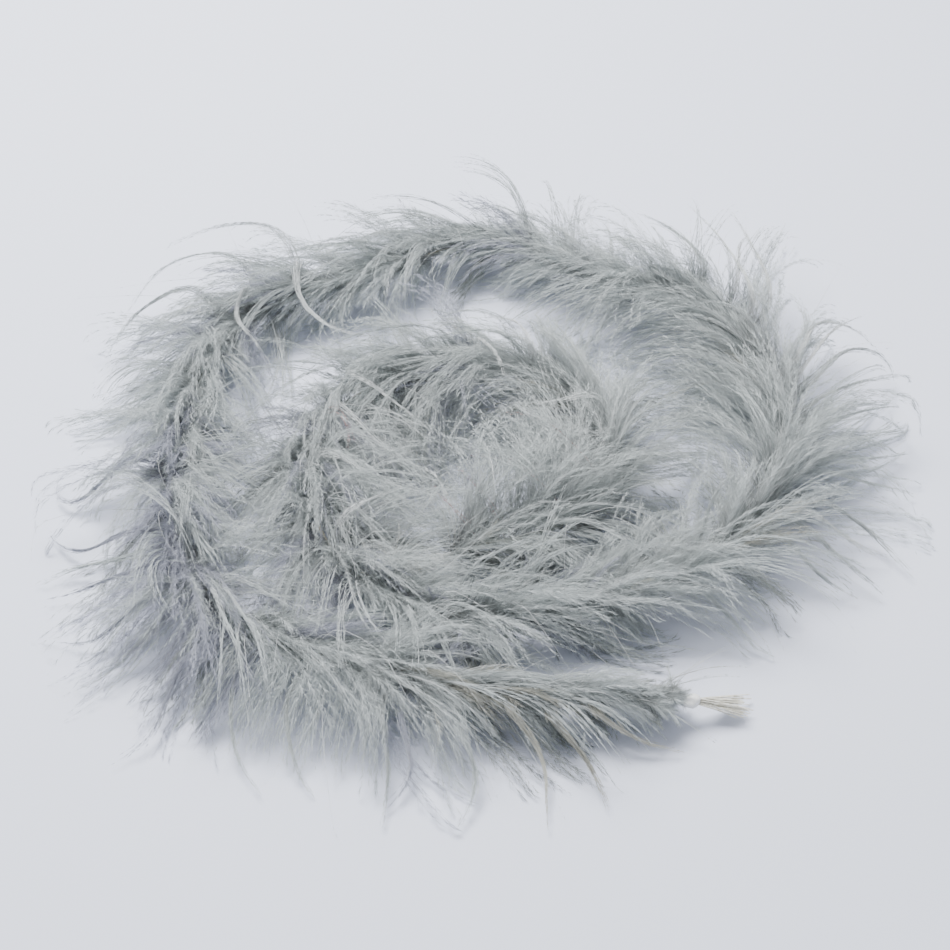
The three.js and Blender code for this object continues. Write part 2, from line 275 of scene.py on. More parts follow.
# Roots are darkened as painted shade for the depth among the barbs, and tips lightened a little as painted
# light.
ROOT_PAINTED_SHADE, BODY_SHADE, TIP_PAINTED_LIGHT = 0.37, 1.0, 1.03
SHADE_SPREAD = 0.15


def dyed_barb_with_painted_shade():
    """Dyed ostrich barb, brushed dry: matt keratin that lets a little light through, with painted shade at
    its roots and underneath.
    """
    material = new_material("dyed ostrich barb with painted shade")
    place = add_node(material, "ShaderNodeUVMap", {"uv_map": "OFBake"})
    axes = add_node(material, "ShaderNodeSeparateXYZ", (), {"Vector": place.outputs[0]})
    band_colour = add_node(material, "ShaderNodeValToRGB", (), {"Fac": axes.outputs["Y"]})
    set_ramp(band_colour, [(max(0.0, BANDS[name][0] - 0.01), DYE_AND_PAINTED_SHADE_COLOURS[name]) for name in BANDS], "CONSTANT")
    own_shade = add_node(
        material, "ShaderNodeTexNoise", {"noise_dimensions": "1D"},
        {"W": axes.outputs["Y"], "Scale": 90.0, "Detail": 1.0},
    )
    spread = add_node(
        material, "ShaderNodeMapRange", (),
        {"Value": own_shade.outputs[0], "From Min": 0.3, "From Max": 0.7,
         "To Min": 1.0 - SHADE_SPREAD, "To Max": 1.0 + SHADE_SPREAD},
    )
    # Painted shade along the barb: dark at the root, rising to a touch of painted light at the tip.
    root_painted_shade_ramp = add_node(
        material, "ShaderNodeMapRange", (),
        {"Value": axes.outputs["X"], "From Min": 0.0, "From Max": 0.35,
         "To Min": ROOT_PAINTED_SHADE, "To Max": BODY_SHADE},
    )
    tip_painted_light_ramp = add_node(
        material, "ShaderNodeMapRange", (),
        {"Value": axes.outputs["X"], "From Min": 0.35, "From Max": 1.0,
         "To Min": 0.0, "To Max": TIP_PAINTED_LIGHT - BODY_SHADE},
    )
    painted_shade_along_barb = add_node(material, "ShaderNodeMath", {"operation": "ADD"},
                            {0: root_painted_shade_ramp.outputs[0], 1: tip_painted_light_ramp.outputs[0]})
    value = add_node(material, "ShaderNodeMath", {"operation": "MULTIPLY"},
                     {0: painted_shade_along_barb.outputs[0], 1: spread.outputs[0]})
    colour = add_node(material, "ShaderNodeHueSaturation", (),
                      {"Color": band_colour.outputs[0], "Value": value.outputs[0]})
    horn = add_node(
        material, "ShaderNodeBsdfPrincipled", (),
        {"Base Color": colour.outputs[0], "Roughness": 0.68, "IOR": 1.54, "Specular IOR Level": 0.15,
         "Sheen Weight": 0.3, "Sheen Roughness": 0.5},
    )
    glow = add_node(material, "ShaderNodeBsdfTranslucent", (), {"Color": colour.outputs[0]})
    both = add_node(material, "ShaderNodeMixShader", (), {0: 0.28, 1: horn.outputs[0], 2: glow.outputs[0]})
    add_node(material, "ShaderNodeOutputMaterial", (), {"Surface": both.outputs[0]})
    return material


barb_dye_and_painted_shade = dyed_barb_with_painted_shade()
print("barb bands:", BANDS)

# %% [markdown]
# The small hard pieces hide under the barbs, but show at the two ends and wherever the barbs part. A pared
# quill is horn with a fine streak along its grain. Cotton cord and thread are matt with a slight variation
# from fibre to fibre. Dried glue is smooth, milky and lets some light into itself.

# %% Cord, quill and glue materials
def streaked(name, dark, light, grain_mm, roughness, **more):
    """A plain material whose colour wanders between two close shades, grain_mm apart."""
    material = new_material(name)
    place = add_node(material, "ShaderNodeTexCoord")
    grain = add_node(
        material, "ShaderNodeTexNoise", (),
        {"Vector": place.outputs["Object"], "Scale": 1000.0 / grain_mm, "Detail": 3.0},
    )
    ramp = add_node(material, "ShaderNodeValToRGB", (), {"Fac": grain.outputs[0]})
    set_ramp(ramp, [(0.35, dark), (0.65, light)])
    bump = add_node(material, "ShaderNodeBump", (),
                    {"Strength": 0.35, "Distance": 0.0001, "Height": grain.outputs[0]})
    shader = add_node(
        material, "ShaderNodeBsdfPrincipled", (),
        {"Base Color": ramp.outputs[0], "Roughness": roughness, "Normal": bump.outputs[0], **more},
    )
    add_node(material, "ShaderNodeOutputMaterial", (), {"Surface": shader.outputs[0]})
    return material


horn_quill = streaked("pared quill horn", "b9b49c", "d9d5c2", 1.5, 0.45, IOR=1.54)
cotton_cord = streaked("twisted cotton cord", "aeb0ac", "cfd1cc", 0.6, 0.85)
cotton_thread = streaked("cotton binding thread", "c2c4c2", "dedfdb", 0.5, 0.75)
cut_fibre = streaked("cut barb shafts", "c9c6b8", "e9e8e0", 2.5, 0.55, IOR=1.54)
dried_glue = streaked("dried craft glue", "e4e5e3", "f3f4f3", 3.0, 0.35, IOR=1.47)
print("materials:", [m.name for m in bpy.data.materials])

# %% [markdown]
# ## One barb, modelled once
#
# An ostrich barb is a thin, limp shaft with soft barbules along both sides. The barbules have no hooks, which
# is why ostrich is fluffy where other feathers are flat. The shaft here is a three-sided cone, cut across so
# that it can bend. A barbule is a single sliver of a triangle, because there are over a million of them.
# The finished barb lies straight along X, with x from 0 at its root to 1 at its tip and its thickness in
# metres, ready to be laid on a path. Fluffy barbs make the body of the boa. On sleek ones the barbules lie
# along the shaft, as they do on the long barbs that have been handled.

# %% One barb
SHAFT_RADII = {"downy": 0.00013, "sleek": 0.00020}


def model_shaft(radius, steps):
    """A tapered shaft from x = 0 to x = 1, cut across into equal lengths."""
    fresh_selection()
    bpy.ops.mesh.primitive_cone_add(
        vertices=3, radius1=radius, radius2=0, depth=1,
        location=(0.5, 0, 0), rotation=(0, math.pi / 2, 0),
    )
    bpy.ops.object.transform_apply()
    bpy.ops.object.mode_set(mode="EDIT")
    for step in range(1, steps):
        bpy.ops.mesh.select_all(action="SELECT")
        bpy.ops.mesh.bisect(plane_co=(step / steps, 0, 0), plane_no=(1, 0, 0))
    bpy.ops.object.mode_set(mode="OBJECT")
    return take_points(bpy.context.object)


def model_barbule():
    """One sliver along X, one unit long and one unit wide at its foot."""
    fresh_selection()
    bpy.ops.mesh.primitive_circle_add(vertices=3, radius=1, fill_type="NGON", rotation=(0, 0, -math.pi / 2))
    bpy.ops.object.transform_apply()
    points, triangles = take_points(bpy.context.object)
    points -= [points[:, 0].min(), 0, 0]
    return points / [points[:, 0].max(), np.ptp(points[:, 1]), 1], triangles


def model_barb(seed, kind, steps, barbules, longest, width, spread_degrees, last=0.96):
    """Shaft and barbules. The barbules are shorter, and lie closer to the shaft, towards the tip."""
    random = np.random.default_rng(seed)
    shaft_points, shaft_triangles = model_shaft(SHAFT_RADII[kind], steps)
    barbule_points, barbule_triangles = model_barbule()
    foot = random.uniform(0.02, last, barbules)
    near_root = 1 - (foot / last) ** 2
    length = longest * (0.45 + 0.55 * near_root) * random.uniform(0.6, 1.15, barbules)
    angle = np.radians(spread_degrees * (0.35 + 0.65 * near_root)) * random.uniform(0.3, 1.5, barbules)
    around = np.where(random.random(barbules) < 0.5, 0.0, math.pi) + random.normal(0, 0.5, barbules)
    roll = random.uniform(0, math.pi, barbules)
    forward = np.stack([
        length * np.cos(angle),
        length * np.sin(angle) * np.cos(around),
        length * np.sin(angle) * np.sin(around),
    ], axis=-1)
    broad = width * np.stack([np.zeros(barbules), np.cos(roll), np.sin(roll)], axis=-1)
    slivers, triangles = join_copies(
        forward[:, None] * barbule_points[None, :, :1] + broad[:, None] * barbule_points[None, :, 1:2],
        barbule_triangles,
    )
    return {
        "foot": np.concatenate([shaft_points[:, 0], np.repeat(foot, len(barbule_points))]),
        "offset": np.vstack([shaft_points * [0, 1, 1], slivers]),
        "triangles": np.vstack([shaft_triangles, triangles + len(shaft_points)]),
        "shaft": np.arange(len(shaft_points) + len(slivers)) < len(shaft_points),
    }


DOWNY = [model_barb(seed, "downy", 6, 78, 0.0086, 0.00026, 38) for seed in (11, 12, 13)]
SLEEK = [model_barb(seed, "sleek", 8, 52, 0.0064, 0.00036, 11) for seed in (21, 22, 23)]
BARE = [model_barb(31, "sleek", 10, 14, 0.0040, 0.00030, 12)]
print("triangles in a downy, a sleek and a bare barb:",
      [len(kind[0]["triangles"]) for kind in (DOWNY, SLEEK, BARE)])

# %% [markdown]
# ## Laying barbs along paths
#
# A path is a row of points. Every point of the straight barb goes to its place along the path and keeps its
# distance from it, sideways and upwards, so one modelled barb bends into any curve.

# %% Barbs on paths
TABLE_CLEARANCE = 0.0004
CREST = HIGH[2] + 0.0110


def lay_on_paths(barb, paths, fluff, shades, pale_shafts=0.0):
    """Copies of one barb along paths, which are an array of copies by points by 3.

    fluff scales what stands off the paths.
    """
    steps = paths.shape[1] - 1
    along = np.gradient(paths, axis=1)
    along /= np.linalg.norm(along, axis=2, keepdims=True) + 1e-9
    across = np.cross(along, [0.0, 0.0, 1.0]) + 1e-3
    across /= np.linalg.norm(across, axis=2, keepdims=True)
    above = np.cross(across, along)
    at = np.clip(barb["foot"], 0, 1) * steps
    low = np.minimum(at.astype(int), steps - 1)
    share = (at - low)[None, :, None]

    def between(rows):
        return rows[:, low] * (1 - share) + rows[:, low + 1] * share

    offset = barb["offset"][None] * np.asarray(fluff)[:, None, None]
    points = between(paths) + between(along) * offset[..., :1] + between(across) * offset[..., 1:2]
    points += between(above) * offset[..., 2:]
    points[..., 2] = np.clip(points[..., 2], TABLE_CLEARANCE, CREST)
    shade = np.repeat(shades[:, None], points.shape[1], axis=1)
    pale = np.arange(len(shades)) < pale_shafts * len(shades)
    low_band, high_band = BANDS["pale"]
    shade = np.where(barb["shaft"][None] & pale[:, None], low_band + shade * (high_band - low_band), shade)
    surface = np.stack([
        np.broadcast_to(barb["foot"][None] + offset[..., 0] * 8, shade.shape), shade + offset[..., 1]
    ], axis=-1)
    points, triangles = join_copies(points, barb["triangles"])
    return points, triangles, np.clip(surface.reshape(-1, 2), 0.002, 0.998)


def lay_all(random, kinds, paths, fluff, shades, pale_shafts):
    """Lays each path's barb, of a kind drawn at random, and joins them into one list."""
    kind = random.integers(0, len(kinds), len(paths))
    return join_parts([
        lay_on_paths(barb, paths[kind == index], fluff[kind == index], shades[kind == index], pale_shafts)
        for index, barb in enumerate(kinds)
    ])


print(f"barbs lie between {TABLE_CLEARANCE * 1000:.1f} and {CREST * 1000:.1f} mm above the table")

# %% [markdown]
# ## How a barb grows
#
# Each barb follows a guide. It leaves the cord outwards, swept back towards the boa's outer end as all the
# plumes are, droops under its own weight, and comes to rest on the table or on the barbs below it. Barbs
# cling together in locks: they start apart along the quill, and share one guide towards their tips.

# %% Guides and locks
GUIDE_POINTS = 15
ROOT_RADII = (0.0015, 0.0055)
EDGE_ALLOWANCE = 0.0225      # how far barb tips may stand beyond the frame's box
SOFT_EDGE = 0.012            # the last stretch before that, where they are held back more and more
CEILING = HIGH[2] - 0.010    # where rising barbs start to bend level
TIP_SPREAD = 0.0055          # how far apart the tips of a loose lock's barbs lie
WAVER = 0.0006               # how far a barb wanders from a smooth curve
SHORTEST_SHARE = 0.66        # the shortest barb of a lock against its longest


def grow_guides(root, along, left, groom):
    """Guide paths from roots on the cord. groom holds an array for each of a guide's numbers."""
    up = np.array([0.0, 0.0, 1.0])
    around, sweep, droop, trail, swirl, length, bed = (
        groom[name][:, None] for name in ("around", "sweep", "droop", "trail", "swirl", "length", "bed")
    )
    radial = np.cos(around) * left + np.sin(around) * up
    heading = np.cos(sweep) * radial - np.sin(sweep) * along
    place = root + groom["foot"][:, None] * radial
    step = 1 / (GUIDE_POINTS - 1)
    points = [place]
    for index in range(1, GUIDE_POINTS):
        share = index * step
        heading = heading - up * droop * step * (0.5 + share)
        heading = heading - along * trail * step
        heading = heading + np.cross(up, heading) * swirl * step * (0.2 + 1.6 * share)
        heading[:, 2] -= np.clip((place[:, 2] - CEILING) / 0.012, 0, 1) * np.maximum(heading[:, 2], 0)
        heading /= np.linalg.norm(heading, axis=1, keepdims=True)
        place = place + heading * length * step
        floor = 0.0012 + bed[:, 0] * (1 - share)
        under = place[:, 2] < floor
        place[under, 2] = floor[under]
        heading[under, 2] = np.maximum(heading[under, 2], 0.02)
        points.append(place)
    return np.stack(points, axis=1)


def split_into_barbs(random, guides, along, barbs_per_lock, tightness, root_spread=0.0035):
    """Each guide's barbs: apart at the root, drawn together towards the tip as much as tightness says."""
    share = np.linspace(0, 1, GUIDE_POINTS)[None, None, :, None]
    total = (len(guides), barbs_per_lock)
    tight = tightness[:, None, None, None]
    apart = random.normal(0, root_spread, total)[..., None, None] * along[:, None, None, :]
    tip_spread = random.normal(0, TIP_SPREAD, total + (1, 3)) * [1, 1, 0.6]
    waver = random.normal(0, WAVER, total + (1, 3)) * np.sin(
        share * random.uniform(3, 8, total)[..., None, None] + random.uniform(0, 6, total)[..., None, None]
    )
    paths = (
        guides[:, None]
        + apart * (1 - tight * np.minimum(1, share * 1.6))
        + tip_spread * share ** 1.5 * (1.25 - tight)
        + waver * np.minimum(1, share * 3)
    ).reshape(-1, GUIDE_POINTS, 3)
    # Some barbs of a lock are shorter than others.
    reach = random.uniform(SHORTEST_SHARE, 1.0, len(paths))
    at = reach[:, None] * np.arange(GUIDE_POINTS)
    low = np.minimum(at.astype(int), GUIDE_POINTS - 2)
    part = (at - low)[..., None]
    rows = np.arange(len(paths))[:, None]
    return paths[rows, low] * (1 - part) + paths[rows, low + 1] * part


def keep_inside(paths):
    """Holds back tips that would stand too far outside the frame's box, without a flat edge."""
    for axis in (0, 1):
        for edge, way in ((LOW[axis] - EDGE_ALLOWANCE, -1), (HIGH[axis] + EDGE_ALLOWANCE, 1)):
            beyond = np.maximum(way * (paths[..., axis] - edge) + SOFT_EDGE, 0)
            paths[..., axis] -= way * (beyond - SOFT_EDGE * (1 - np.exp(-beyond / SOFT_EDGE)))
    return paths


def join_parts(parts):
    """Several lists of points, triangles and map places as one."""
    counts = np.cumsum([0] + [len(points) for points, _, _ in parts])
    points, triangles, surface = zip(*parts)
    triangles = [rows + offset for rows, offset in zip(triangles, counts)]
    return np.concatenate(points), np.concatenate(triangles), np.concatenate(surface)


print(f"{GUIDE_POINTS} points to a guide, tips up to {EDGE_ALLOWANCE * 1000:.1f} mm beyond the frame's box")

# %% [markdown]
# ## Plume by plume
#
# A boa is tied from many plumes, and no two are alike. Each row of the table is one plume, counted from the
# outer end: how long its barbs are on the free outer side and on the inner side, how far they are swept back,
# how much they curl, what share of them took the dye as violet or as straw, what share of those underneath
# are painted slate grey as painted shade, and how many more locks lie tangled over the hollows between the
# turns.

# %% Grooming table
PLUME_ROWS = (
    # outer mm, inner mm, sweep degrees, curl, violet, straw, painted slate shade underneath, tangle
    (92, 78, 66, 0.22, 0.00, 0.16, 0.65, 0),
    (116, 84, 42, 0.55, 0.18, 0.04, 0.50, 0),
    (118, 94, 30, 0.75, 0.45, 0.00, 0.25, 0),
    (104, 100, 38, 0.50, 0.22, 0.00, 0.15, 0),
    (122, 102, 48, 0.45, 0.06, 0.00, 0.10, 0),
    (116, 78, 44, 0.45, 0.02, 0.00, 0.40, 0),
    (120, 116, 40, 0.50, 0.00, 0.00, 0.30, 30),
    (124, 136, 32, 0.60, 0.00, 0.02, 0.00, 40),
    (118, 104, 38, 0.50, 0.00, 0.02, 0.45, 16),
    (88, 98, 44, 0.50, 0.03, 0.02, 0.65, 0),
    (96, 126, 36, 0.65, 0.08, 0.02, 0.60, 60),
    (100, 136, 32, 0.65, 0.10, 0.02, 0.55, 76),
    (92, 132, 42, 0.55, 0.03, 0.02, 0.30, 60),
    (112, 134, 32, 0.80, 0.02, 0.02, 0.40, 70),
)
PLUMES = len(PLUME_ROWS)
OUTER_STRANDS, INNER_STRANDS, BARE_CORD = 0.032, 0.018, 0.015
PLUMES_START = OUTER_STRANDS + BARE_CORD
PLUMES_END = CORD_LENGTH - INNER_STRANDS - BARE_CORD
PLUME_LENGTH = (PLUMES_END - PLUMES_START) / PLUMES
OUTER_TAPER = (0.16, 0.100)   # share of full length at the very end, and where the barbs reach full length
INNER_TAPER = (0.75, 0.040)
print(f"{PLUMES} plumes of {PLUME_LENGTH * 1000:.1f} mm")

# %% [markdown]
# Layers fill a plume. Short down hides the cord, and a cover of down lies back along it. Locks of middling
# barbs make the body, and lower ones its skirts. Long sleek locks stand clear of it. Single stray barbs, pale
# and going any way, come last. Where the turns lie close, a tangle of locks crosses the hollow between them.
# Neighbouring locks lean together in bunches, which leaves the gaps that a real plume has.

# %% Layers of a plume
LAYERS = {
    # locks, locks in a bunch, barbs in a lock, share of full length, around the cord, how tight, how heavy
    "down": {"locks": 66, "bunch": 1, "barbs": 2, "length": (0.24, 0.46), "around": (-30, 210),
             "kinds": DOWNY, "tight": (0.0, 0.3), "droop": (0.2, 1.2), "turn": 0, "pale": 0.0},
    "cover": {"locks": 36, "bunch": 3, "barbs": 3, "length": (0.42, 0.68), "around": (55, 125),
              "kinds": DOWNY, "tight": (0.1, 0.6), "droop": (0.8, 1.6), "turn": 20, "pale": 0.1,
              "over_parting": True},
    "body": {"locks": 84, "bunch": 4, "barbs": 5, "length": (0.5, 0.88), "around": (-10, 190),
             "kinds": DOWNY, "tight": (0.2, 0.8), "droop": (0.9, 2.2), "turn": 0, "pale": 0.2},
    "low": {"locks": 44, "bunch": 4, "barbs": 4, "length": (0.8, 1.15), "around": (-25, 205),
            "kinds": DOWNY, "tight": (0.3, 0.85), "droop": (1.2, 2.4), "turn": -4, "pale": 0.15},
    "long": {"locks": 28, "bunch": 3, "barbs": 6, "length": (0.85, 1.2), "around": (0, 180), "kinds": SLEEK,
             "tight": (0.65, 0.95), "droop": (1.0, 2.4), "turn": -6, "pale": 0.25},
    "stray": {"locks": 46, "bunch": 1, "barbs": 1, "length": (0.6, 1.1), "around": (0, 180), "kinds": BARE,
              "tight": (1.0, 1.0), "droop": (0.6, 1.8), "turn": -12, "pale": 1.0},
    "tangle": {"locks": 0, "bunch": 2, "barbs": 5, "length": (0.72, 1.02), "around": (130, 182),
               "kinds": DOWNY * 2 + SLEEK + BARE * 3, "tight": (0.2, 0.9), "droop": (0.7, 1.5), "turn": -24,
               "pale": 0.4},
}
PARTING_TURN = math.radians(28)
PARTING_LENGTH = 0.23
UNDERSIDE = 0.42             # roots lower round the cord than this, as a sine, are underneath


def draw_shades(random, violet, straw, underside_painted_shade):
    """Shades, as places across the map, in the bands of the plume's dyes and of the painted slate shade. The
    last argument is each one's own chance of that painted shade.
    """
    draw = random.random(len(underside_painted_shade))
    names = np.where(draw < violet, "violet", np.where(draw < violet + straw, "straw", "silver"))
    names = np.where(random.random(len(underside_painted_shade)) < underside_painted_shade, "underside_painted_shade", names)
    low, high = (np.array([BANDS[name][end] for name in names]) for end in (0, 1))
    return low + random.random(len(underside_painted_shade)) * (high - low)


def groom_layer(random, number, layer):
    """One layer of one plume, as points, triangles and their places on the map."""
    outer, inner, sweep, curl, violet, straw, underside_painted_shade, tangle = PLUME_ROWS[number]
    count = layer["locks"] or tangle
    bunch = np.arange(count) // layer["bunch"]
    alike = 0.4 if layer["bunch"] > 1 else 1.0

    def leaning(draw, spread):
        """A number for each lock: its bunch's own, and a little of its own beside that."""
        return draw(bunch[-1] + 1)[bunch] + random.normal(0, spread * alike, count)

    start = PLUMES_START + number * PLUME_LENGTH
    s = start + PLUME_LENGTH * (np.arange(count) + random.random(count)) / count
    root, along, left = cord_frame(s)
    around = np.radians(leaning(lambda bunches: random.uniform(*layer["around"], bunches), 24))
    if not layer.get("over_parting"):
        around += PARTING_TURN * np.sin(2 * math.pi * s / PARTING_LENGTH + 0.7 * number)
    outward = 0.5 + 0.5 * np.cos(around)
    full = (inner + (outer - inner) * outward) / 1000
    for (least, reach), from_end in ((OUTER_TAPER, s - PLUMES_START), (INNER_TAPER, PLUMES_END - s)):
        full *= least + (1 - least) * np.clip(from_end / reach, 0, 1)
    swept = leaning(lambda bunches: random.normal(sweep + layer["turn"], 13, bunches), 11)
    groom = {
        "around": around,
        "sweep": np.radians(np.clip(swept, -15, 80)),
        "length": full * leaning(lambda bunches: random.uniform(*layer["length"], bunches), 0.1),
        "droop": leaning(lambda bunches: random.uniform(*layer["droop"], bunches), 0.4),
        "trail": random.uniform(0.0, 0.6, count),
        "swirl": leaning(lambda bunches: random.normal(0, curl, bunches), curl),
        "bed": 0.018 * random.random(count) ** 1.5,
        "foot": random.uniform(*ROOT_RADII, count),
    }
    guides = grow_guides(root, along, left, groom)
    tightness = random.uniform(*layer["tight"], count)
    paths = keep_inside(split_into_barbs(random, guides, along, layer["barbs"], tightness))
    # Locks underneath may take the slate band, painted shade for the lower side of the boa.
    underneath = np.sin(around[::layer["bunch"]]) < UNDERSIDE
    underside_painted_shade_chance = np.where(underneath, underside_painted_shade, 0.0) * (layer["kinds"] is DOWNY)
    shades = np.repeat(draw_shades(random, violet, straw, underside_painted_shade_chance)[bunch], layer["barbs"])
    shades = np.clip(shades + random.normal(0, 0.006, len(shades)), 0.01, 0.99)
    fluff = random.uniform(0.75, 1.15, len(paths))
    return lay_all(random, layer["kinds"], paths, fluff, shades, layer["pale"])


print("locks in a plume without a tangle:", sum(layer["locks"] for layer in LAYERS.values()))


# %% [markdown]
# ## Locks that lie by themselves
#
# Handling pulls some locks clear of the rest. They lie on the table past the edge of the boa, or arch over
# it, and give its outline its long curved tips. Each row says which plume holds the lock, how many barbs it
# has, its dye, and the points in millimetres that it passes after leaving the cord. The long ones give this
# boa its own outline as it lies, so they are a list and not a rule.

